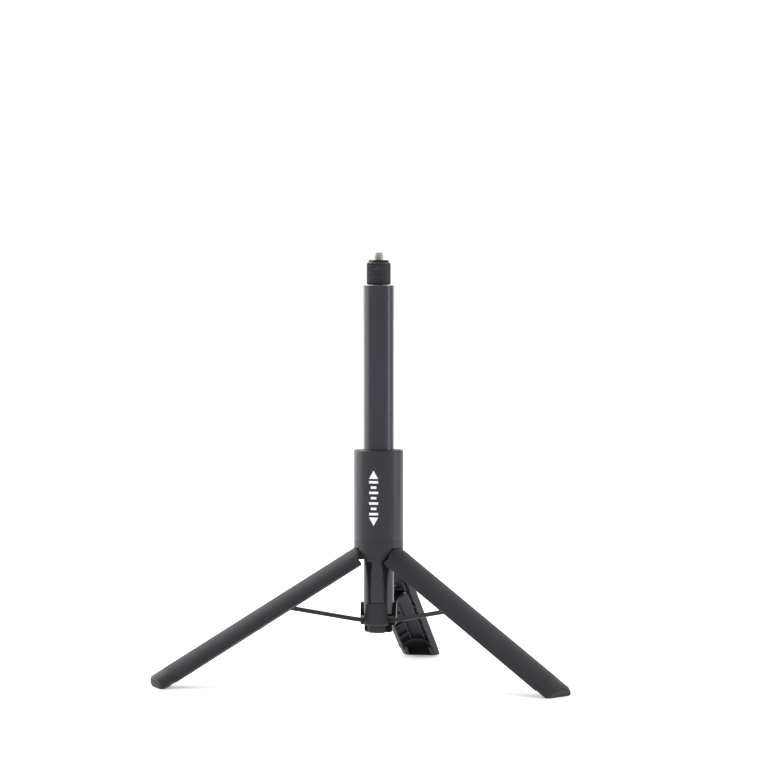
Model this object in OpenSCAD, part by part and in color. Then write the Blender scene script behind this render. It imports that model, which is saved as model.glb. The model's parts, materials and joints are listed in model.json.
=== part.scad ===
// Telescopic stick with a push-down tripod.
// Frame: millimetres, +Z up along the tube, origin on the floor under the tube's axis.
// Rest: legs open, inner tube sections pushed in. A leg or brace is drawn folded
// against the tube and swung out by open_leg(), so that one shape serves both states.

/* [Tube] */
// Outside diameter of the outer tube
tube_d = 19.3; // [19:0.1:19.4]
// Height of the outer tube's top
tube_top = 250; // [245:1:260]
// Wall of every tube section
tube_wall = 0.6; // [0.5:0.05:0.6]
// Step in outside diameter from one section to the next
tube_step = 2.32; // [2.2:0.02:2.4]
// Height of the inner sections' lower ends
inner_bottom = 46; // [45:1:60]

/* [Hub] */
// Outside diameter of the hub and of the folded legs
hub_d = 31.4; // [31:0.1:32]
// Height of the hub's top
hub_top = 146; // [140:1:170]
// Height of the seam between the sleeve and the yoke
hub_seam = 88; // [87:0.5:90]
// Height of the yoke ring's lower rim
hub_rim = 84; // [83.5:0.5:84.5]
// Height of the tongues' lower ends
tongue_bottom = 75.5; // [75:0.5:76]

/* [Legs] */
// Angle of an open leg from the vertical
leg_open = 60; // [60]
// Radius of the circle on which the leg pins lie
pivot_r = 12; // [12]
// Height of the leg pins
pivot_z = 81.9; // [81.9]
// Inside radius of a folded leg
leg_in_r = 12; // [12:0.1:12.2]
// Half of the arc that a leg covers
leg_half_angle = 58; // [54:1:58]
// Distance along the leg from its pin to the shell's end
leg_len = 146.5; // [145:0.5:148]
// Distance along the leg from its pin to the foot's end
foot_end = 156.6; // [156:0.1:157]
// Wall of the leg shell
shell_wall = 1.1; // [1:0.1:1.2]

/* [Braces] */
// Distance along the leg from its pin to the brace pin
brace_at = 66.5; // [65:0.5:68]
// Radius of the brace pin in a folded leg
brace_pin_r = 12.6; // [12.5:0.1:12.7]
// Radius of the brace's inner pivot on the runner
runner_pivot_r = 9.4; // [9.2:0.1:9.6]
// Height of the brace's inner pivot on the runner
runner_pivot_z = 39.5; // [39:0.1:40]

/* [Runner] */
// Outside diameter of the runner
runner_d = 23.2; // [22.6:0.1:23.3]
// Height of the runner's top
runner_top = 48.9; // [48:0.1:50]
// Height of the runner's lower face
runner_bottom = 34.7; // [34:0.1:35]
// Height of the end cap's lower face
cap_bottom = 29.8; // [29:0.1:31]

/* [Head] */
// Diameter of the knurled collar
collar_d = 15.2; // [14.6:0.1:16]
// Height of the seat under the camera
seat_z = 266; // [264:1:268]
// Major diameter of the 1/4 inch camera stud
stud_d = 6.35; // [6.35]
// Length of stud above the seat
stud_out = 4.8; // [4:0.1:5.5]

/* [Hidden] */
$fn = 96;
leg_azimuths = [90, 210, 330];
tube_r = tube_d / 2;
hub_r = hub_d / 2;
runner_r = runner_d / 2;
collar_r = collar_d / 2;
stud_r = stud_d / 2;
run_gap = 0.05;           // running clearance on a radius
body_gap = 0.3;           // gap between different moving bodies
tube_floor = 42;          // lower end of the outer tube, inside the runner
knuckle_r = 3.5;          // radius of a leg's rounded top about its pin
knuckle_half = 4.3;       // half width of a leg's knuckle
foot_r = hub_r - 0.1;     // outside radius of a foot cap
foot_chord = 6.6;         // distance of a foot's flat inner side from the folded tube's axis
foot_round = 1.8;         // rounding of a foot cap's outer rim
foot_pad_r = 13.8;        // outside radius of a rubber pad
foot_hollow_r = 13.4;     // radius of the hollow in a foot cap
foot_wall = 1.6;          // wall between that hollow and the pad
foot_pad_top = 155;       // distance along the leg from its pin to the pad's seat
pad_out = 0.4;            // how far a pad stands proud of its cap
pad_groove = 0.25;        // groove round a rubber pad
liner_end = 141.5;        // distance along the leg from its pin to the inner frame's end
rib_at = [14, 30, 48, 86, 100, 114, 130]; // distances of the cross ribs along the leg
lug_r = leg_in_r - 0.7;   // inside radius of the lugs on a shell's edges
leg_pin_r = 1;            // radius of the leg pins
leg_pin_half = 7.6;       // half length of the leg pins
window_low_angle = 43;    // half angle of the opening between two tongues, at the tongues' ends
window_top_angle = 17;    // and at the rim
pin_r = 0.75;             // radius of the brace pins
trough_half = 4.2;        // half width of the trough that takes a folded brace
trough_wall = 1;          // thickness of the trough's walls
liner_screw_at = [20, 54];  // distances of the liner screws along the leg
lug_at = [30.5, 82, 135.2]; // distances of the lugs along the leg
brace_half = 2.8;         // half width of a brace
brace_boss = 1.7;         // radius of the bosses round a brace pin
slot_half_top = 5.7;      // half width of a runner slot at the runner's top
slot_half_low = 3.2;      // half width of a runner slot below its pivot
cap_r = 9.1;              // outside radius of the end cap
slot_floor_r = 4.2;       // radius of the core left between the runner's slots
bush_r = 11;              // outside radius of the hub's bushes
spigot_r = 13.2;          // outside radius of the yoke's spigot
spigot_top = 98;
land_top = 104;           // top of the sleeve's lower land
upper_land = 134;         // lower face of the sleeve's upper land
screw_circle = 14;        // radius of the circle of the yoke screws
slide_top = 244;          // lower face of the guide rings
bush_len = 6;
collar_bottom = tube_top + body_gap;
pad_t = 0.6;              // thickness of the rubber washer on the head
shank_r = 3.9;            // radius of the camera screw below its thread
far = 60;                 // larger than any section of the object

// Folded place of the runner pivot, from the equal length of the brace in both states
q_rad = pivot_r + (brace_pin_r - pivot_r) * cos(leg_open) + brace_at * sin(leg_open);
q_z = pivot_z + (brace_pin_r - pivot_r) * sin(leg_open) - brace_at * cos(leg_open);
brace_len = sqrt(pow(q_rad - runner_pivot_r, 2) + pow(q_z - runner_pivot_z, 2));
brace_open = atan2(q_rad - runner_pivot_r, q_z - runner_pivot_z);

// ---------- shared shapes ----------

// A ring between two radii and two heights
module ring(r_in, r_out, z0, z1) {
    difference() {
        translate([0, 0, z0]) cylinder(r = r_out, h = z1 - z0);
        translate([0, 0, z0 - 1]) cylinder(r = r_in, h = z1 - z0 + 2);
    }
}

// A turned disc with chamfers on its lower and upper outer edges
module turned(r, z0, z1, chamfer_low, chamfer_top) {
    rotate_extrude() polygon([
        [0, z0], [r - chamfer_low, z0], [r, z0 + chamfer_low],
        [r, z1 - chamfer_top], [r - chamfer_top, z1], [0, z1]
    ]);
}

// A turned disc with rounded lower and upper outer edges
module rounded(r, z0, z1, round_low, round_top) {
    rotate_extrude() polygon(concat(
        [[0, z0]],
        [for (a = [-90 : 15 : 0]) [r - round_low + round_low * cos(a), z0 + round_low + round_low * sin(a)]],
        [for (a = [0 : 15 : 90]) [r - round_top + round_top * cos(a), z1 - round_top + round_top * sin(a)]],
        [[0, z1]]
    ));
}

// A wedge about the radial direction +X
module wedge(half_angle, z0, z1) {
    translate([0, 0, z0]) linear_extrude(z1 - z0)
        polygon([[0, 0], [far, -far * tan(half_angle)], [far, far * tan(half_angle)]]);
}

// A pin or a hole along the tangential direction Y
module cross_cylinder(r, x, z, y0, y1) {
    translate([x, y0, z]) rotate([-90, 0, 0]) cylinder(r = r, h = y1 - y0);
}

// Children drawn with +X radial, placed at leg number i
module at_leg(i) {
    rotate([0, 0, leg_azimuths[i - 1]]) children();
}

// Children drawn as on a folded leg, with the leg pin's height as z = 0
module open_leg(i) {
    at_leg(i) translate([pivot_r, 0, pivot_z]) rotate([0, -leg_open, 0])
        translate([-pivot_r, 0, 0]) children();
}

// Outside radius of section n and inside radius of section n
function section_r(n) = tube_r - (n - 1) * tube_step / 2;
function section_bore(n) = section_r(n) - tube_wall;

// ---------- hub ----------

module hub_sleeve() {
    color([0.19, 0.19, 0.21]) difference() {
        rounded(hub_r, hub_seam, hub_top, 0.25, 1.4);
        translate([0, 0, hub_seam - 1]) cylinder(r = spigot_r, h = spigot_top - hub_seam + 1);
        translate([0, 0, spigot_top - 1]) cylinder(r = bush_r, h = hub_top - 1.4 - spigot_top + 1);
        translate([0, 0, land_top]) cylinder(r = spigot_r, h = upper_land - land_top);
        translate([0, 0, hub_top - 2]) cylinder(r = tube_r + body_gap, h = 3);
        for (a = leg_azimuths)
            rotate([0, 0, a + 60]) translate([screw_circle, 0, hub_seam - 1]) cylinder(r = 0.7, h = 9);
    }
}

// The opening between two tongues that one leg's top fills, seen along the radius
module leg_window() {
    half_low = hub_r * sin(window_low_angle);
    half_top = hub_r * sin(window_top_angle);
    rotate([90, 0, 90]) linear_extrude(far) polygon([
        [-half_low, tongue_bottom - 1], [half_low, tongue_bottom - 1], [half_low, tongue_bottom],
        [half_top, hub_rim], [-half_top, hub_rim], [-half_low, tongue_bottom]
    ]);
}

module hub_yoke() {
    color([0.17, 0.17, 0.19]) difference() {
        rotate_extrude() polygon([
            [tube_r + body_gap, tongue_bottom], [hub_r, tongue_bottom], [hub_r, hub_seam],
            [spigot_r - run_gap, hub_seam], [spigot_r - run_gap, spigot_top], [bush_r, spigot_top],
            [bush_r, hub_seam + 1], [tube_r + body_gap, hub_seam + 1]
        ]);
        for (i = [1 : 3]) at_leg(i) {
            leg_window();
            cross_cylinder(knuckle_r + 0.35, pivot_r, pivot_z, -knuckle_half - body_gap,
                           knuckle_half + body_gap);
            cross_cylinder(leg_pin_r, pivot_r, pivot_z, -leg_pin_half, leg_pin_half);
        }
        for (a = leg_azimuths) rotate([0, 0, a + 60]) translate([screw_circle, 0, 0]) {
            translate([0, 0, tongue_bottom - 1]) cylinder(r = 0.7, h = 20);
            translate([0, 0, tongue_bottom - 1]) cylinder(r = 1.3, h = 2.4);
        }
    }
}

module wiper_ring() {
    color([0.06, 0.06, 0.06]) ring(tube_r + 0.03, bush_r, hub_top - 4, hub_top - 1.4);
}

module upper_bush() {
    color([0.85, 0.85, 0.82]) ring(tube_r + run_gap, bush_r, hub_top - 11, hub_top - 4);
}

module lower_bush() {
    color([0.85, 0.85, 0.82]) ring(tube_r + run_gap, bush_r, hub_seam + 1, spigot_top - 1);
}

module friction_ring() {
    color([0.05, 0.05, 0.05]) ring(tube_r + 0.02, bush_r, spigot_top + 1, land_top - 1);
}

module yoke_screws() {
    color([0.45, 0.45, 0.47]) for (a = leg_azimuths)
        rotate([0, 0, a + 60]) translate([screw_circle, 0, tongue_bottom]) difference() {
            union() {
                translate([0, 0, 0.2]) cylinder(r = 1.3, h = 1.2);
                translate([0, 0, 1]) cylinder(r = 0.7, h = 19);
            }
            translate([0, 0, -0.5]) cylinder(r = 0.55, h = 1.4, $fn = 6);
        }
}

module leg_pin(i) {
    color([0.6, 0.6, 0.62]) at_leg(i)
        cross_cylinder(leg_pin_r, pivot_r, pivot_z, -leg_pin_half, leg_pin_half);
}

// ---------- legs, drawn folded ----------

// The outline of a leg seen along the radius: its top slants away from the knuckle to the full width
module leg_outline() {
    full = hub_r + 1;
    rotate([90, 0, 90]) linear_extrude(far) polygon([
        [-3, -2.6], [-8.6, -5], [-10.2, -6.7], [-full, -6.8], [-full, -foot_end - 1],
        [full, -foot_end - 1], [full, -6.8], [10.2, -6.7], [8.6, -5], [3, -2.6]
    ]);
}

// Everything that may turn with the leg without striking the yoke
module swing_space() {
    cross_cylinder(knuckle_r, pivot_r, 0, -far, far);
    translate([0, -far, -foot_end - 1]) cube([far, 2 * far, foot_end + 1]);
}

module leg_lugs() {
    for (l = lug_at) for (side = [-1, 1]) intersection() {
        ring(lug_r, leg_in_r + 0.5, -l - 2.2, -l + 2.2);
        rotate([0, 0, side * (leg_half_angle - 2.4)]) wedge(1.6, -l - 3, -l + 3);
    }
}

module leg_shell(i) {
    color([0.16, 0.16, 0.18]) open_leg(i) intersection() {
        union() {
            difference() {
                intersection() {
                    ring(leg_in_r, hub_r, -leg_len, knuckle_r);
                    wedge(leg_half_angle, -leg_len - 1, knuckle_r + 1);
                }
                intersection() {
                    translate([0, 0, -leg_len - 1]) cylinder(r = hub_r - shell_wall, h = leg_len + far);
                    wedge(leg_half_angle - 5, -leg_len - 2, far);
                }
                for (l = liner_screw_at)
                    translate([0, 0, -l]) rotate([0, 90, 0]) cylinder(r = 0.6, h = hub_r - 0.4);
            }
            leg_lugs();
        }
        leg_outline();
        swing_space();
    }
}

// The ribbed inner frame: knuckle, spine, trough walls and cross ribs
module leg_liner(i) {
    deep = hub_r - shell_wall;
    frame_in = leg_in_r + 0.3;
    color([0.12, 0.12, 0.13]) open_leg(i) difference() {
        union() {
            cross_cylinder(2, pivot_r, 0, -knuckle_half, knuckle_half);
            intersection() {
                union() {
                    translate([pivot_r - 0.8, -knuckle_half, -12]) cube([5, 2 * knuckle_half, 12]);
                    translate([frame_in, -trough_half, -brace_at + 5])
                        cube([5, 2 * trough_half, brace_at - 10]);
                    for (side = [-1, 1])
                        translate([frame_in, side > 0 ? trough_half : -trough_half - trough_wall, -liner_end])
                            cube([5, trough_wall, liner_end - 12]);
                    for (y = [trough_half, -trough_half - trough_wall])
                        cross_cylinder(brace_boss, brace_pin_r, -brace_at, y, y + trough_wall);
                    for (l = rib_at) rib(l);
                    intersection() {
                        ring(frame_in, deep, -liner_end, -liner_end + 1.4);
                        wedge(leg_half_angle - 5, -liner_end, -liner_end + 1.4);
                    }
                }
                translate([0, 0, -liner_end]) cylinder(r = deep, h = liner_end + 3);
                swing_space();
            }
        }
        cross_cylinder(leg_pin_r + run_gap, pivot_r, 0, -far, far);
        cross_cylinder(pin_r, brace_pin_r, -brace_at, -trough_half - 2, trough_half + 2);
        translate([0, 0, -brace_at + 5]) rotate([0, 90, 0]) cylinder(r = trough_half, h = far);
        for (l = liner_screw_at) translate([0, 0, -l]) rotate([0, 90, 0]) cylinder(r = 0.6, h = deep + 1);
        translate([0, -trough_half, -liner_end + 1.4])
            cube([deep + 1, 2 * trough_half, liner_end - brace_at + 3]);
    }
}

// One cross rib of the inner frame at distance l along the leg
module rib(l) {
    intersection() {
        ring(leg_in_r + 1, hub_r - shell_wall, -l - 0.6, -l + 0.6);
        wedge(leg_half_angle - 6, -l - 1, -l + 1);
    }
}

// Small screws that hold the inner frame to the shell, driven from the inside
module liner_screws(i) {
    color([0.45, 0.45, 0.47]) open_leg(i) for (l = liner_screw_at) translate([0, 0, -l]) rotate([0, 90, 0])
        difference() {
            union() {
                translate([0, 0, leg_in_r - 0.5]) cylinder(r = 1.3, h = 0.8);
                translate([0, 0, leg_in_r]) cylinder(r = 0.6, h = hub_r - 0.4 - leg_in_r);
            }
            translate([0, 0, leg_in_r - 1]) cylinder(r = 0.5, h = 1.1, $fn = 6);
        }
}

// The solid form of a foot: a D in section, turned to a profile of (radius, distance along the leg)
module foot_form(profile, chord, half_angle) {
    intersection() {
        rotate_extrude() polygon([for (p = profile) [p[0], -p[1]]]);
        wedge(half_angle, -foot_end - 2, 0);
        translate([chord, -far, -foot_end - 2]) cube([far, 2 * far, foot_end + 2]);
    }
}

// Everything at least this high above the floor when the leg is open
module above_floor(height) {
    translate([pivot_r, 0, 0]) rotate([0, leg_open, 0]) translate([-200, -far, height - pivot_z])
        cube([400, 2 * far, 200]);
}

// A cylinder of the folded leg between two distances along it
function barrel(r, l0, l1) = [[0, l0], [r, l0], [r, l1], [0, l1]];

// The cap that closes a leg's end: a plug inside the shell, a rounded rim, a hollow towards the
// tube and a recess for the pad
module foot_cap(i) {
    plug_r = hub_r - shell_wall;
    rim = [for (a = [0 : 15 : 90])
        [foot_r - foot_round + foot_round * cos(a), foot_end - foot_round + foot_round * sin(a)]];
    color([0.10, 0.10, 0.11]) open_leg(i) difference() {
        intersection() {
            union() {
                foot_form(barrel(plug_r, liner_end + 0.2, leg_len + 1), foot_chord, leg_half_angle - 5);
                foot_form(concat([[0, leg_len], [foot_r, leg_len]], rim, [[0, foot_end]]),
                          foot_chord, leg_half_angle - 2);
            }
            above_floor(0.3);
        }
        foot_form(barrel(foot_hollow_r, liner_end, foot_pad_top - foot_wall), 0, leg_half_angle - 10);
        foot_form(barrel(foot_pad_r + pad_groove, foot_pad_top, foot_end + 1), 0, 52);
    }
}

// The D-shaped rubber pad, cut flat where it meets the floor
module foot_pad(i) {
    color([0.05, 0.05, 0.05]) open_leg(i) intersection() {
        foot_form(barrel(foot_pad_r, foot_pad_top, foot_end + pad_out), foot_chord + 0.3, 50);
        above_floor(0);
    }
}

module brace_pin(i) {
    color([0.6, 0.6, 0.62]) open_leg(i)
        cross_cylinder(pin_r, brace_pin_r, -brace_at, -trough_half - trough_wall, trough_half + trough_wall);
}

// ---------- braces ----------

// A flat bar with a rolled eye at each end, drawn upright from its inner eye at the origin.
// Its runner end stands off the line between the eyes, to lie outside the tube when folded.
module brace_shape() {
    difference() {
        union() {
            rotate([90, 0, 0]) translate([0, 0, -brace_half]) linear_extrude(2 * brace_half) polygon([
                [0.4, -1], [3, -1], [3, 8], [1.3, brace_len - 3], [1.3, brace_len],
                [-1.3, brace_len], [-1.3, brace_len - 4], [0.4, 8]
            ]);
            cross_cylinder(1.5, 0, 0, -brace_half, brace_half);
            cross_cylinder(1.4, 0, brace_len, -brace_half, brace_half);
        }
        cross_cylinder(pin_r + run_gap, 0, 0, -far, far);
        cross_cylinder(pin_r + run_gap, 0, brace_len, -far, far);
    }
}

module brace(i) {
    color([0.20, 0.20, 0.22]) at_leg(i) translate([runner_pivot_r, 0, runner_pivot_z])
        rotate([0, brace_open, 0]) brace_shape();
}

// ---------- sliding tube ----------

module outer_tube() {
    color([0.24, 0.24, 0.27]) difference() {
        turned(tube_r, tube_floor, tube_top, 0, 0.2);
        translate([0, 0, tube_floor - 1]) cylinder(r = tube_r - tube_wall, h = tube_top);
    }
}

// A V slot that lets one brace into the runner
module runner_slot() {
    translate([slot_floor_r, 0, 0]) rotate([90, 0, 90]) linear_extrude(far) polygon([
        [-slot_half_low, cap_bottom - 5], [slot_half_low, cap_bottom - 5],
        [slot_half_low, runner_pivot_z - 1], [slot_half_top, runner_top + 1],
        [-slot_half_top, runner_top + 1], [-slot_half_low, runner_pivot_z - 1]
    ]);
}

module runner() {
    color([0.15, 0.15, 0.17]) difference() {
        turned(runner_r, runner_bottom, runner_top, 1, 0.3);
        translate([0, 0, tube_floor]) cylinder(r = tube_r, h = far);
        translate([0, 0, runner_bottom - 1]) cylinder(r = 1.25, h = far);
        for (i = [1 : 3]) at_leg(i) {
            runner_slot();
            cross_cylinder(pin_r, runner_pivot_r, runner_pivot_z, -5.2, 5.2);
        }
    }
}

// Each pin is cut at the slot, where the linkage is opened
module runner_pins() {
    color([0.6, 0.6, 0.62]) for (i = [1 : 3]) at_leg(i) for (side = [-1, 1])
        cross_cylinder(pin_r, runner_pivot_r, runner_pivot_z, side > 0 ? 3.45 : -5.2, side > 0 ? 5.2 : -3.45);
}

module end_cap() {
    color([0.08, 0.08, 0.09]) difference() {
        rounded(cap_r, cap_bottom, runner_bottom, 2, 0.1);
        for (i = [1 : 3]) at_leg(i) runner_slot();
        translate([0, 0, cap_bottom - 1]) cylinder(r = 1.5, h = 20);
        translate([0, 0, cap_bottom - 1]) cylinder(r = 2.8, h = 3);
    }
}

module end_cap_screw() {
    color([0.45, 0.45, 0.47]) difference() {
        union() {
            translate([0, 0, cap_bottom + 0.3]) cylinder(r = 2.7, h = 1.7);
            translate([0, 0, cap_bottom + 1]) cylinder(r = 1.25, h = 10);
        }
        translate([0, 0, cap_bottom]) cylinder(r = 1.3, h = 1.4, $fn = 6);
    }
}

// ---------- inner sections ----------

// The ring in the mouth of section n that guides section n + 1
module guide_ring(n) {
    color([0.85, 0.85, 0.82])
        ring(section_r(n + 1) + run_gap, section_bore(n), slide_top, tube_top - 0.6);
}

module inner_tube(n, top) {
    color([0.55, 0.55, 0.58]) ring(section_bore(n), section_r(n), inner_bottom, top);
}

// The bush round the lower end of section n, which rubs in section n - 1
module slide_bush(n) {
    color([0.85, 0.85, 0.82])
        ring(section_r(n), section_bore(n - 1) - run_gap, inner_bottom, inner_bottom + bush_len);
}

// ---------- head ----------

module head_plug() {
    color([0.5, 0.5, 0.52]) rotate_extrude() polygon([
        [0, 244], [section_bore(5), 244], [section_bore(5), 256], [section_r(5), 256], [section_r(5), 257],
        [3, 257], [3, 261], [2.5, 261], [2.5, 261.8], [3, 261.8], [3, 262.3], [0, 262.3]
    ]);
}

module retaining_ring() {
    color([0.6, 0.6, 0.62]) ring(2.5, 4, 261, 261.8);
}

module head_collar() {
    color([0.20, 0.20, 0.22]) difference() {
        turned(collar_r, collar_bottom, seat_z - pad_t, 0.3, 1.1);
        translate([0, 0, collar_bottom - 1]) cylinder(r = section_r(5) + body_gap, h = 258 - collar_bottom);
        translate([0, 0, 255]) cylinder(r = 3 + run_gap, h = 10);
        translate([0, 0, 260.8]) cylinder(r = 4.6, h = seat_z - pad_t - 1 - 260.8);
        translate([0, 0, 262]) cylinder(r = shank_r, h = 10);
    }
}

module camera_screw() {
    color([0.75, 0.75, 0.77]) {
        translate([0, 0, 262.6]) cylinder(r = 4.6, h = seat_z - pad_t - 1 - 262.6);
        rotate_extrude() polygon([
            [0, 263], [shank_r, 263], [shank_r, seat_z], [stud_r, seat_z],
            [stud_r, seat_z + stud_out - 0.7], [stud_r - 0.7, seat_z + stud_out], [0, seat_z + stud_out]
        ]);
    }
}

module head_pad() {
    color([0.05, 0.05, 0.05]) ring(shank_r + 0.2, collar_r - 1.2, seat_z - pad_t, seat_z);
}

// ---------- nodes ----------

hub_sleeve();
hub_yoke();
wiper_ring();
upper_bush();
lower_bush();
friction_ring();
yoke_screws();
leg_pin(1);  // leg_pin_1
leg_pin(2);  // leg_pin_2
leg_pin(3);  // leg_pin_3
leg_shell(1);  // leg_shell_1
leg_shell(2);  // leg_shell_2
leg_shell(3);  // leg_shell_3
leg_liner(1);  // leg_liner_1
leg_liner(2);  // leg_liner_2
leg_liner(3);  // leg_liner_3
liner_screws(1);  // liner_screws_1
liner_screws(2);  // liner_screws_2
liner_screws(3);  // liner_screws_3
foot_cap(1);  // foot_cap_1
foot_cap(2);  // foot_cap_2
foot_cap(3);  // foot_cap_3
foot_pad(1);  // foot_pad_1
foot_pad(2);  // foot_pad_2
foot_pad(3);  // foot_pad_3
brace_pin(1);  // brace_pin_1
brace_pin(2);  // brace_pin_2
brace_pin(3);  // brace_pin_3
brace(1);  // brace_1
brace(2);  // brace_2
brace(3);  // brace_3
outer_tube();
guide_ring(1);  // guide_ring_1
runner();
runner_pins();
end_cap();
end_cap_screw();
inner_tube(2, tube_top - 0.2);  // tube_2
slide_bush(2);  // slide_bush_2
guide_ring(2);  // guide_ring_2
inner_tube(3, tube_top - 0.2);  // tube_3
slide_bush(3);  // slide_bush_3
guide_ring(3);  // guide_ring_3
inner_tube(4, tube_top - 0.2);  // tube_4
slide_bush(4);  // slide_bush_4
guide_ring(4);  // guide_ring_4
inner_tube(5, 256);  // tube_5
slide_bush(5);  // slide_bush_5
head_plug();
retaining_ring();
head_collar();
camera_screw();
head_pad();
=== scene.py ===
"""Looks for the telescopic stick with a push-down tripod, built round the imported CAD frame.

Everything is in metres in the frame's axes: +Z up along the tube, the floor at z = 0.
The CAD nodes keep their shapes and get procedural materials. The knurled collar, the threaded
stud, the mark on the hub and a punch mark on the tube are modelled here.
"""

import json
import math

import bpy
from mathutils import Euler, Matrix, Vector


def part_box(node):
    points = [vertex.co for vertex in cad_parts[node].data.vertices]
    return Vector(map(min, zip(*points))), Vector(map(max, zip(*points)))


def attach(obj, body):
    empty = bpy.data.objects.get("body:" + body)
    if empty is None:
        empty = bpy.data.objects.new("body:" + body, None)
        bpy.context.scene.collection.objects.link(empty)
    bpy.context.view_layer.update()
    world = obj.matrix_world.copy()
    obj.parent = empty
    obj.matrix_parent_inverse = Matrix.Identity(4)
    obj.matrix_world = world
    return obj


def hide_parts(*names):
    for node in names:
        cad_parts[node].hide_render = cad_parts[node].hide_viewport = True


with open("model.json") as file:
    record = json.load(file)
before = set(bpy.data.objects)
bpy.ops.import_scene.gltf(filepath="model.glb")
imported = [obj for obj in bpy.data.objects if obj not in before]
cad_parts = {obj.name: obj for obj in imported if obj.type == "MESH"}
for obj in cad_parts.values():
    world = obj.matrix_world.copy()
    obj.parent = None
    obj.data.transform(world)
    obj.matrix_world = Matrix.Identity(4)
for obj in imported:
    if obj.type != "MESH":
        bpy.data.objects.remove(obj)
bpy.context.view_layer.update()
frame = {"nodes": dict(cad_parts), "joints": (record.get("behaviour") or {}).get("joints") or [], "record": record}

MM = 0.001
TAU = 2 * math.pi

# ---------- dimensions taken from the frame ----------

LEG_AZIMUTHS = {1: 90, 2: 210, 3: 330}
LEG_OPEN = math.radians(60)
HUB_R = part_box("hub_sleeve")[1].x
COLLAR_LOW, COLLAR_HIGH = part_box("head_collar")
COLLAR_R = COLLAR_HIGH.x
STUD_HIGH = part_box("camera_screw")[1]
TUBE_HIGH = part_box("outer_tube")[1]
TUBE_R = TUBE_HIGH.x
SHANK_R = 3.9 * MM       # radius of the camera screw below its thread
COLLAR_LIP = 1.0 * MM    # thickness of the collar's top over the screw's flange
HINGE = {j["name"]: Vector(j["pos_m"]) for j in frame["joints"] if "pos_m" in j}


# ---------- material tools ----------

class Shader:
    """A node material under construction, with one Principled shader."""

    def __init__(self, name):
        self.material = bpy.data.materials.new(name)
        self.material.use_nodes = True
        self.tree = self.material.node_tree
        self.surface = self.tree.nodes["Principled BSDF"]
        self.coords = self.node("ShaderNodeTexCoord").outputs["Object"]

    def node(self, kind, **values):
        made = self.tree.nodes.new(kind)
        for key, value in values.items():
            setattr(made, key, value)
        return made

    def link(self, source, target):
        self.tree.links.new(source, target)

    def math(self, operation, a, b=None):
        made = self.node("ShaderNodeMath", operation=operation)
        for socket, value in zip(made.inputs, (a, b)):
            if value is None:
                continue
            if isinstance(value, (int, float)):
                socket.default_value = value
            else:
                self.link(value, socket)
        return made.outputs[0]

    def noise(self, scale, detail=3.0, roughness=0.5, coords=None):
        made = self.node("ShaderNodeTexNoise")
        made.inputs["Scale"].default_value = scale
        made.inputs["Detail"].default_value = detail
        made.inputs["Roughness"].default_value = roughness
        self.link(coords or self.coords, made.inputs["Vector"])
        return made.outputs["Fac"]

    def mapped(self, location=(0, 0, 0), rotation=(0, 0, 0), scale=(1, 1, 1), coords=None):
        made = self.node("ShaderNodeMapping")
        made.inputs["Location"].default_value = location
        made.inputs["Rotation"].default_value = rotation
        made.inputs["Scale"].default_value = scale
        self.link(coords or self.coords, made.inputs["Vector"])
        return made.outputs["Vector"]

    def spread(self, source, low, high, out_low, out_high):
        """source, stretched from low..high to out_low..out_high and held there."""
        made = self.node("ShaderNodeMapRange")
        for key, value in (("From Min", low), ("From Max", high), ("To Min", out_low), ("To Max", out_high)):
            made.inputs[key].default_value = value
        self.link(source, made.inputs["Value"])
        return made.outputs["Result"]

    def mix_colour(self, factor, a, b):
        made = self.node("ShaderNodeMix", data_type="RGBA")
        self.link(factor, made.inputs["Factor"])
        for socket, value in ((made.inputs[6], a), (made.inputs[7], b)):
            if isinstance(value, tuple):
                socket.default_value = (*value, 1)
            else:
                self.link(value, socket)
        return made.outputs[2]

    def mottled(self, blotch, colour, dark, light):
        """The colour, wandering between a darker and a lighter share of itself."""
        low = tuple(c * dark for c in colour)
        high = tuple(c * light for c in colour)
        return self.mix_colour(self.spread(blotch, 0.3, 0.7, 0, 1), low, high)

    def edges(self, radius):
        """1 on edges, 0 on open surfaces, and the normal with its edges rounded."""
        bevel = self.node("ShaderNodeBevel", samples=6)
        bevel.inputs["Radius"].default_value = radius
        facing = self.node("ShaderNodeNewGeometry").outputs["Normal"]
        dot = self.node("ShaderNodeVectorMath", operation="DOT_PRODUCT")
        self.link(bevel.outputs["Normal"], dot.inputs[0])
        self.link(facing, dot.inputs[1])
        return self.spread(dot.outputs["Value"], 0.985, 0.9, 0, 1), bevel.outputs["Normal"]

    def bump(self, height, depth, strength=1.0, normal=None):
        made = self.node("ShaderNodeBump")
        made.inputs["Distance"].default_value = depth
        made.inputs["Strength"].default_value = strength
        self.link(height, made.inputs["Height"])
        if normal:
            self.link(normal, made.inputs["Normal"])
        return made.outputs["Normal"]

    def finish(self, colour, roughness, normal, metallic=0.0, specular=0.5):
        surface = self.surface
        self.link(colour, surface.inputs["Base Color"])
        self.link(roughness, surface.inputs["Roughness"])
        self.link(normal, surface.inputs["Normal"])
        surface.inputs["Metallic"].default_value = metallic
        surface.inputs["Specular IOR Level"].default_value = specular
        return self.material


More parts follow.
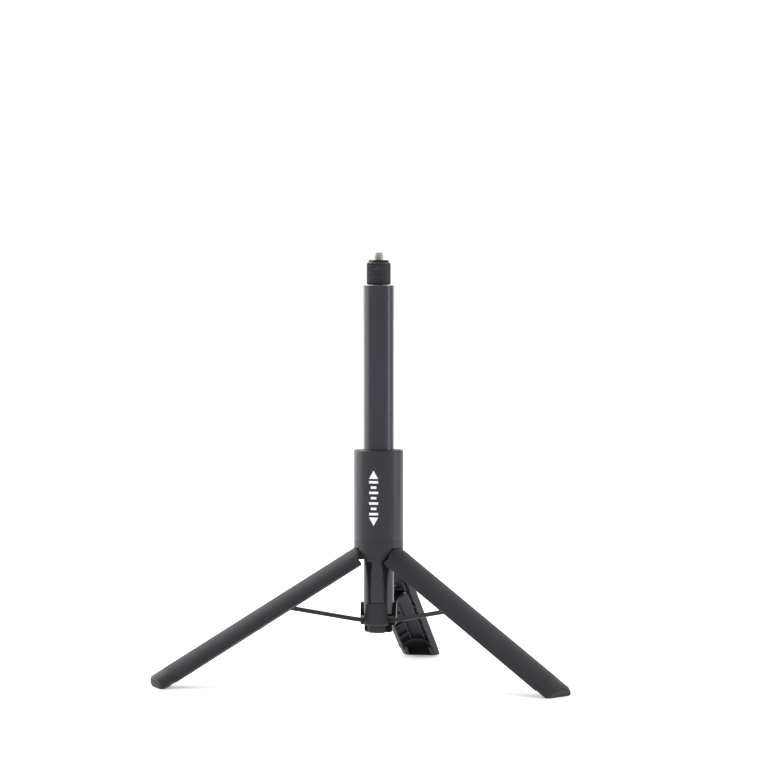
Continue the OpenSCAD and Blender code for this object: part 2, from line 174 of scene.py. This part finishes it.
def moulded(name, colour, roughness, grain=0.22 * MM, depth=0.006 * MM,
            worn=(0.05, 0.05, 0.055), specular=0.3):
    """Moulded plastic: fine spark grain, slight blotches of gloss, edges rubbed lighter."""
    s = Shader(name)
    blotch = s.noise(60, 4, 0.6)
    tint = s.mottled(blotch, colour, 0.88, 1.12)
    edge, rounded = s.edges(0.25 * MM)
    scuffed = s.math("MULTIPLY", edge, s.spread(s.noise(420, 5, 0.7), 0.45, 0.7, 0.1, 0.6))
    paint = s.mix_colour(scuffed, tint, worn)
    rough = s.math("SUBTRACT", s.spread(blotch, 0.25, 0.75, roughness - 0.05, roughness + 0.06),
                   s.math("MULTIPLY", scuffed, 0.12))
    height = s.noise(1 / grain, 3, 0.6)
    return s.finish(paint, rough, s.bump(height, depth, 0.8, rounded), 0.0, specular)


def anodised(name, colour, roughness, metallic=0.75, worn=(0.2, 0.2, 0.22)):
    """Anodised aluminium tube: bead-blasted grain, faint draw lines along Z, bright rubbed edges."""
    s = Shader(name)
    lines = s.noise(2600, 2, 0.5, s.mapped(scale=(1, 1, 0.012)))
    blotch = s.noise(45, 4, 0.55, s.mapped(scale=(1, 1, 0.4)))
    tint = s.mottled(blotch, colour, 0.9, 1.1)
    edge, rounded = s.edges(0.15 * MM)
    rubbed = s.math("MULTIPLY", edge, s.spread(s.noise(500, 4, 0.7), 0.42, 0.66, 0.15, 0.8))
    paint = s.mix_colour(rubbed, tint, worn)
    rough = s.spread(s.math("ADD", blotch, lines), 0.6, 1.4, roughness - 0.05, roughness + 0.07)
    grain = s.math("ADD", s.noise(5200, 2, 0.5), s.math("MULTIPLY", lines, 0.7))
    return s.finish(paint, rough, s.bump(grain, 0.004 * MM, 0.7, rounded), metallic)


def bare_metal(name, colour, roughness):
    """Plain metal: fine turning marks, a little darker in blotches."""
    s = Shader(name)
    lines = s.noise(3000, 3, 0.6, s.mapped(scale=(0.05, 0.05, 1)))
    blotch = s.noise(90, 4, 0.6)
    paint = s.mix_colour(s.spread(blotch, 0.35, 0.7, 0, 1), tuple(c * 0.8 for c in colour), colour)
    rough = s.spread(s.math("ADD", lines, blotch), 0.6, 1.4, roughness - 0.06, roughness + 0.1)
    rounded = s.edges(0.08 * MM)[1]
    return s.finish(paint, rough, s.bump(lines, 0.003 * MM, 0.7, rounded), 1.0)


def rubber(name, colour=(0.012, 0.012, 0.013)):
    """Matt rubber with fine pores and dust in them."""
    s = Shader(name)
    pores = s.noise(2800, 4, 0.65)
    patches = s.spread(s.noise(140, 5, 0.7), 0.5, 0.75, 0, 1)
    dust = s.math("MULTIPLY", patches, s.spread(pores, 0.4, 0.6, 1, 0.2))
    paint = s.mix_colour(s.math("MULTIPLY", dust, 0.35), colour, (0.09, 0.09, 0.088))
    rounded = s.edges(0.2 * MM)[1]
    rough = s.spread(pores, 0.3, 0.7, 0.72, 0.9)
    return s.finish(paint, rough, s.bump(pores, 0.012 * MM, 0.8, rounded), 0.0, 0.35)


def soft_touch_leg(number):
    """Soft-touch leg shell with its fine rhombic texture, laid out along the open leg."""
    s = Shader(f"leg_soft_touch_{number}")
    colour = (0.0130, 0.0135, 0.0185)
    azimuth = math.radians(LEG_AZIMUTHS[number])
    pivot = HINGE[f"leg_{number}_hinge"]
    pivot_r = math.hypot(pivot.x, pivot.y)
    upright = s.mapped(rotation=(0, 0, -azimuth))
    hung = s.mapped(location=(-pivot_r, 0, -pivot.z), coords=upright)
    folded = s.mapped(location=(pivot_r, 0, 0), rotation=(0, LEG_OPEN, 0), coords=hung)
    parts = s.node("ShaderNodeSeparateXYZ")
    s.link(folded, parts.inputs[0])
    round_way = s.math("MULTIPLY", s.math("ARCTAN2", parts.outputs["Y"], parts.outputs["X"]), HUB_R)
    along = parts.outputs["Z"]
    across = s.math("MULTIPLY", round_way, TAU / (1.3 * MM))
    down = s.math("MULTIPLY", along, TAU / (2.2 * MM))
    one = s.math("ABSOLUTE", s.math("SINE", s.math("ADD", across, down)))
    two = s.math("ABSOLUTE", s.math("SINE", s.math("SUBTRACT", across, down)))
    rhombs = s.math("POWER", s.math("MULTIPLY", one, two), 0.5)
    blotch = s.noise(55, 4, 0.6)
    tint = s.mottled(blotch, colour, 0.9, 1.12)
    edge, rounded = s.edges(0.3 * MM)
    scuffed = s.math("MULTIPLY", edge, s.spread(s.noise(380, 5, 0.7), 0.45, 0.7, 0.1, 0.5))
    paint = s.mix_colour(scuffed, tint, (0.045, 0.045, 0.05))
    rough = s.spread(rhombs, 0, 1, 0.66, 0.54)
    height = s.math("ADD", rhombs, s.math("MULTIPLY", s.noise(3600, 3, 0.6), 0.25))
    return s.finish(paint, rough, s.bump(height, 0.045 * MM, 0.85, rounded), 0.0, 0.3)


def printed(name, colour):
    """Pad-printed ink: slightly uneven coverage, with a low sheen."""
    s = Shader(name)
    cover = s.noise(900, 4, 0.6)
    paint = s.mottled(cover, colour, 0.9, 1)
    return s.finish(paint, s.spread(cover, 0.3, 0.7, 0.42, 0.55), s.bump(cover, 0.002 * MM, 0.5))


def stage_paper():
    """The plain pale floor, lit a little from within so that its shadows stay faint."""
    s = Shader("stage_paper")
    s.surface.inputs["Emission Color"].default_value = (1, 1, 1, 1)
    s.surface.inputs["Emission Strength"].default_value = 0.3
    fibre = s.noise(300, 4, 0.6)
    paint = s.mix_colour(s.spread(fibre, 0.3, 0.7, 0, 1), (0.95, 0.95, 0.95), (0.97, 0.97, 0.97))
    return s.finish(paint, s.spread(fibre, 0.3, 0.7, 0.85, 0.95), s.bump(fibre, 0.01 * MM, 0.3), 0.0, 0.2)


MATERIALS = {
    "sleeve": moulded("hub_satin", (0.0160, 0.0165, 0.0215), 0.36, 0.16 * MM, 0.004 * MM),
    "yoke": moulded("yoke_matt", (0.0150, 0.0155, 0.0190), 0.42, 0.2 * MM, 0.005 * MM),
    "tube": anodised("tube_anodised", (0.034, 0.035, 0.042), 0.27),
    "inner_tube": anodised("inner_tube_satin", (0.42, 0.42, 0.44), 0.30, 1.0, (0.6, 0.6, 0.6)),
    "liner": moulded("liner_matt", (0.020, 0.020, 0.024), 0.5, 0.3 * MM, 0.007 * MM),
    "foot": moulded("foot_matt", (0.0125, 0.013, 0.016), 0.5, 0.25 * MM, 0.008 * MM),
    "rubber": rubber("rubber_black"),
    "pad": rubber("pad_rubber", (0.030, 0.030, 0.033)),
    "runner": moulded("runner_satin", (0.0130, 0.0135, 0.0160), 0.4, 0.2 * MM, 0.005 * MM),
    "brace": anodised("brace_anodised", (0.010, 0.010, 0.013), 0.5, 0.3),
    "bush": moulded("bush_acetal", (0.62, 0.62, 0.58), 0.35, 0.3 * MM, 0.003 * MM, (0.7, 0.7, 0.68), 0.5),
    "collar": anodised("collar_anodised", (0.030, 0.030, 0.036), 0.33),
    "steel": bare_metal("steel_plain", (0.40, 0.40, 0.41), 0.34),
    "stud": bare_metal("stud_nickel", (0.50, 0.49, 0.48), 0.26),
    "mark": printed("mark_white", (0.86, 0.86, 0.86)),
}

SLOT_OF = {entry["node"]: entry["material_slot"] for entry in frame["record"]["subparts"]}


def dress(node_name, material):
    """Give a CAD node its material in every slot."""
    mesh = frame["nodes"][node_name].data
    mesh.materials.clear()
    mesh.materials.append(material)


for node_name in frame["nodes"]:
    slot = SLOT_OF[node_name]
    if slot == "leg":
        dress(node_name, soft_touch_leg(int(node_name[-1])))
    elif node_name.startswith("foot_pad"):
        dress(node_name, MATERIALS["pad"])
    else:
        dress(node_name, MATERIALS[slot])


# ---------- mesh tools ----------

def new_piece(name, points, faces, material, body, smooth=True):
    """A mesh object that rides on a body."""
    mesh = bpy.data.meshes.new(name)
    mesh.from_pydata([tuple(p) for p in points], [], faces)
    mesh.validate()
    mesh.materials.append(material)
    piece = bpy.data.objects.new(name, mesh)
    bpy.context.scene.collection.objects.link(piece)
    if smooth:
        for polygon in mesh.polygons:
            polygon.use_smooth = True
    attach(piece, body)
    return piece


def turned_grid(rows, columns, close_low=True, close_high=True):
    """Points and faces of a body of revolution: rows is a list of functions angle -> (radius, z)."""
    points = []
    faces = []
    for row in rows:
        for c in range(columns):
            angle = TAU * c / columns
            radius, z = row(angle)
            points.append((radius * math.cos(angle), radius * math.sin(angle), z))
    for r in range(len(rows) - 1):
        for c in range(columns):
            d = (c + 1) % columns
            faces.append((r * columns + c, r * columns + d, (r + 1) * columns + d, (r + 1) * columns + c))
    if close_low:
        faces.append(tuple(reversed(range(columns))))
    if close_high:
        last = (len(rows) - 1) * columns
        faces.append(tuple(last + c for c in range(columns)))
    return points, faces


# ---------- knurled collar ----------

def knurled_collar():
    """The collar with a raised diamond knurl between two plain bands, hollow as the CAD collar is."""
    diamonds_round = 30
    pitch = 2.93 * MM
    depth = 0.55 * MM
    columns = diamonds_round * 14
    low = COLLAR_LOW.z
    high = COLLAR_HIGH.z
    band_low = low + 0.3 * MM
    band_high = high - 1.15 * MM
    plain_r = COLLAR_R - depth

    def knurl(angle, z):
        """How far a point stands above the grooves: two families of V grooves cross at a slant."""
        up = (z - band_low) / pitch
        turn = angle / TAU * diamonds_round
        groove = max(abs(((turn + up) % 1) - 0.5), abs(((turn - up) % 1) - 0.5)) * 2
        near_end = min(1, (z - band_low) / (0.35 * MM), (band_high - z) / (0.35 * MM))
        flat_top = min(1, (1 - groove) * 1.7)
        return depth * flat_top * max(0, near_end)

    def plain(radius, z):
        return lambda angle: (radius, z)

    def cut(z):
        return lambda angle: (plain_r + knurl(angle, z), z)

    inside_r = 5.31 * MM
    pocket_r = 4.59 * MM
    pocket_low = 260.8 * MM
    bore_r = 3.06 * MM
    bore_low = 257.95 * MM
    rows = [plain(inside_r, low), plain(plain_r - 0.2 * MM, low), plain(plain_r, low + 0.2 * MM)]
    steps = 96
    rows += [cut(band_low + (band_high - band_low) * k / steps) for k in range(steps + 1)]
    rows += [plain(plain_r, high - 1.1 * MM), plain(plain_r - 0.1 * MM, high - 0.95 * MM),
             plain(plain_r - 0.85 * MM, high - 0.15 * MM), plain(plain_r - 1.05 * MM, high),
             plain(SHANK_R, high)]
    pocket_high = high - COLLAR_LIP
    rows += [plain(SHANK_R, pocket_high), plain(pocket_r, pocket_high), plain(pocket_r, pocket_low),
             plain(bore_r, pocket_low), plain(bore_r, bore_low), plain(inside_r, bore_low)]
    points, faces = turned_grid(rows, columns, False, False)
    last = len(rows) - 1
    for c in range(columns):
        d = (c + 1) % columns
        faces.append((last * columns + c, last * columns + d, d, c))
    piece = new_piece("knurled_collar", points, faces, MATERIALS["collar"], "head", smooth=False)
    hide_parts("head_collar")
    return piece


# ---------- camera stud ----------

def threaded_stud():
    """The 1/4 inch stud with its 20-per-inch thread and a chamfered tip, on its flange."""
    pitch = 25.4 / 20 * MM
    major = 3.175 * MM
    minor = 2.5 * MM
    top = STUD_HIGH.z
    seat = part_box("head_pad")[1].z
    flange_r = 4.58 * MM
    flange_top = COLLAR_HIGH.z - COLLAR_LIP
    flange_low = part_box("camera_screw")[0].z
    columns = 64
    shank = SHANK_R - 0.02 * MM
    rows = [lambda angle: (flange_r, flange_low), lambda angle: (flange_r, flange_top),
            lambda angle: (shank, flange_top), lambda angle: (shank, seat)]

    def thread(z):
        def at(angle):
            phase = ((z / pitch) - angle / TAU) % 1
            crest = 1 - abs(phase - 0.5) * 2
            shaped = min(1, max(0, (crest - 0.06) / 0.82))
            tip = major - max(0, z - (top - 0.75 * MM)) * 0.95
            return min(minor + (major - minor) * shaped, tip), z
        return at

    steps = 84
    rows += [thread(seat + (top - seat) * k / steps) for k in range(steps + 1)]
    points, faces = turned_grid(rows, columns)
    piece = new_piece("threaded_stud", points, faces, MATERIALS["stud"], "head")
    piece.data.set_sharp_from_angle(angle=math.radians(38))
    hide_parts("camera_screw")
    return piece


# ---------- mark on the hub ----------

def wrapped(outline, radius, azimuth, lift):
    """An outline of (across, up) points, laid round a cylinder at an azimuth."""
    points = []
    for across, up in outline:
        angle = azimuth + across / radius
        points.append(((radius + lift) * math.cos(angle), (radius + lift) * math.sin(angle), up))
    return points


def hub_mark():
    """A plain slide pictogram: an arrow up and an arrow down with a ladder of bars, printed on the front."""
    azimuth = math.radians(269.5)
    low = 98.6 * MM
    high = 133.4 * MM
    half = 2.9 * MM
    arrow = 5.2 * MM
    bar = 0.75 * MM
    lift = 0.03 * MM
    shapes = []
    for sign, tip in ((1, high), (-1, low)):
        shapes.append((half, lambda share, tip=tip, sign=sign: sorted(
            (tip - sign * arrow, tip - sign * arrow * share))))
    middle = (low + high) / 2
    for step in range(-3, 4):
        z = middle + step * 3.35 * MM
        width = half * (1.0 if step % 2 else 0.62)
        shapes.append((width, lambda share, z=z: (z - bar, z + bar)))
    points = []
    faces = []
    columns = 24
    for width, ends in shapes:
        base = len(points)
        for c in range(columns + 1):
            across = width * (2 * c / columns - 1)
            bottom, top = ends(min(0.999, abs(across) / width))
            points += wrapped([(across, bottom), (across, top)], HUB_R, azimuth, lift)
            points += wrapped([(across, bottom), (across, top)], HUB_R, azimuth, -lift)
        for c in range(columns):
            i = base + 4 * c
            j = i + 4
            faces += [(i, j, j + 1, i + 1), (j + 2, i + 2, i + 3, j + 3)]
            faces += [(i + 2, j + 2, j, i), (i + 1, j + 1, j + 3, i + 3)]
        last = base + 4 * columns
        faces += [(base, base + 1, base + 3, base + 2), (last + 1, last, last + 2, last + 3)]
    return new_piece("hub_mark", points, faces, MATERIALS["mark"], "hub", smooth=False)


# ---------- punch mark on the tube ----------

def crimp_dimple():
    """The small round punch mark near the tube's top that keys its guide ring."""
    azimuth = math.radians(330)
    centre_z = TUBE_HIGH.z - 7 * MM
    rings = [(1.05, 0.0), (0.95, 0.05), (0.8, 0.05), (0.62, -0.02), (0.35, -0.06)]
    columns = 28
    points = []
    faces = []
    for radius, lift in rings:
        for c in range(columns):
            angle = TAU * c / columns
            across = radius * MM * math.cos(angle)
            up = centre_z + radius * MM * math.sin(angle)
            points += wrapped([(across, up)], TUBE_R, azimuth, lift * MM + 0.02 * MM)
    for r in range(len(rings) - 1):
        for c in range(columns):
            d = (c + 1) % columns
            faces.append((r * columns + c, r * columns + d, (r + 1) * columns + d, (r + 1) * columns + c))
    last = (len(rings) - 1) * columns
    faces.append(tuple(last + c for c in range(columns)))
    return new_piece("crimp_dimple", points, faces, MATERIALS["tube"], "tube")


knurled_collar()
threaded_stud()
hub_mark()
crimp_dimple()


# ---------- stage, light and camera ----------

def stage():
    """A wide pale floor under a bright, even sky."""
    bpy.ops.mesh.primitive_plane_add(size=40, location=(0, 0, -0.05 * MM))
    floor = bpy.context.object
    floor.name = "floor"
    floor.data.materials.append(stage_paper())


def softbox(name, location, size, power, target=(0, 0, 0.14)):
    """A rectangular area light turned towards the target."""
    lamp = bpy.data.lights.new(name, "AREA")
    lamp.shape = "RECTANGLE"
    lamp.size, lamp.size_y = size
    lamp.energy = power
    holder = bpy.data.objects.new(name, lamp)
    holder.location = location
    holder.rotation_euler = (Vector(target) - Vector(location)).to_track_quat("-Z", "Y").to_euler()
    bpy.context.scene.collection.objects.link(holder)


def around(azimuth, distance, height):
    """A place at an azimuth in degrees about the tube."""
    angle = math.radians(azimuth)
    return distance * math.cos(angle), distance * math.sin(angle), height


def lights():
    """An even white surround, with tall strips to the right and behind that draw the edges of dark metal."""
    world = bpy.data.worlds.new("studio")
    world.use_nodes = True
    background = world.node_tree.nodes["Background"]
    background.inputs["Color"].default_value = (1, 1, 1, 1)
    background.inputs["Strength"].default_value = 1.03
    bpy.context.scene.world = world
    softbox("right_strip", around(7, 1.7, 0.3), (0.28, 1.7), 11)
    softbox("left_box", around(182, 1.8, 0.4), (1.0, 1.7), 15)
    softbox("back_left_box", around(145, 1.7, 0.5), (0.7, 1.5), 9)
    softbox("back_right_box", around(70, 1.8, 0.4), (0.4, 1.5), 2)
    softbox("back_top_box", around(130, 1.2, 1.5), (1.2, 0.8), 13)


def camera():
    """The photograph's view: a long lens, a little above the hub, slightly to the right of the front."""
    distance = 2.184
    height = 0.252
    azimuth = math.radians(281.4)
    pitch = math.radians(1.78)
    data = bpy.data.cameras.new("camera")
    data.sensor_width = 36
    data.lens = 159.1
    data.shift_x = 0.0145
    data.shift_y = -0.0008
    holder = bpy.data.objects.new("camera", data)
    holder.location = (distance * math.cos(azimuth), distance * math.sin(azimuth), height)
    holder.rotation_euler = Euler((math.pi / 2 - pitch, 0, azimuth + math.pi / 2))
    bpy.context.scene.collection.objects.link(holder)
    bpy.context.scene.camera = holder


stage()
lights()
camera()
bpy.context.scene.view_settings.view_transform = "Standard"
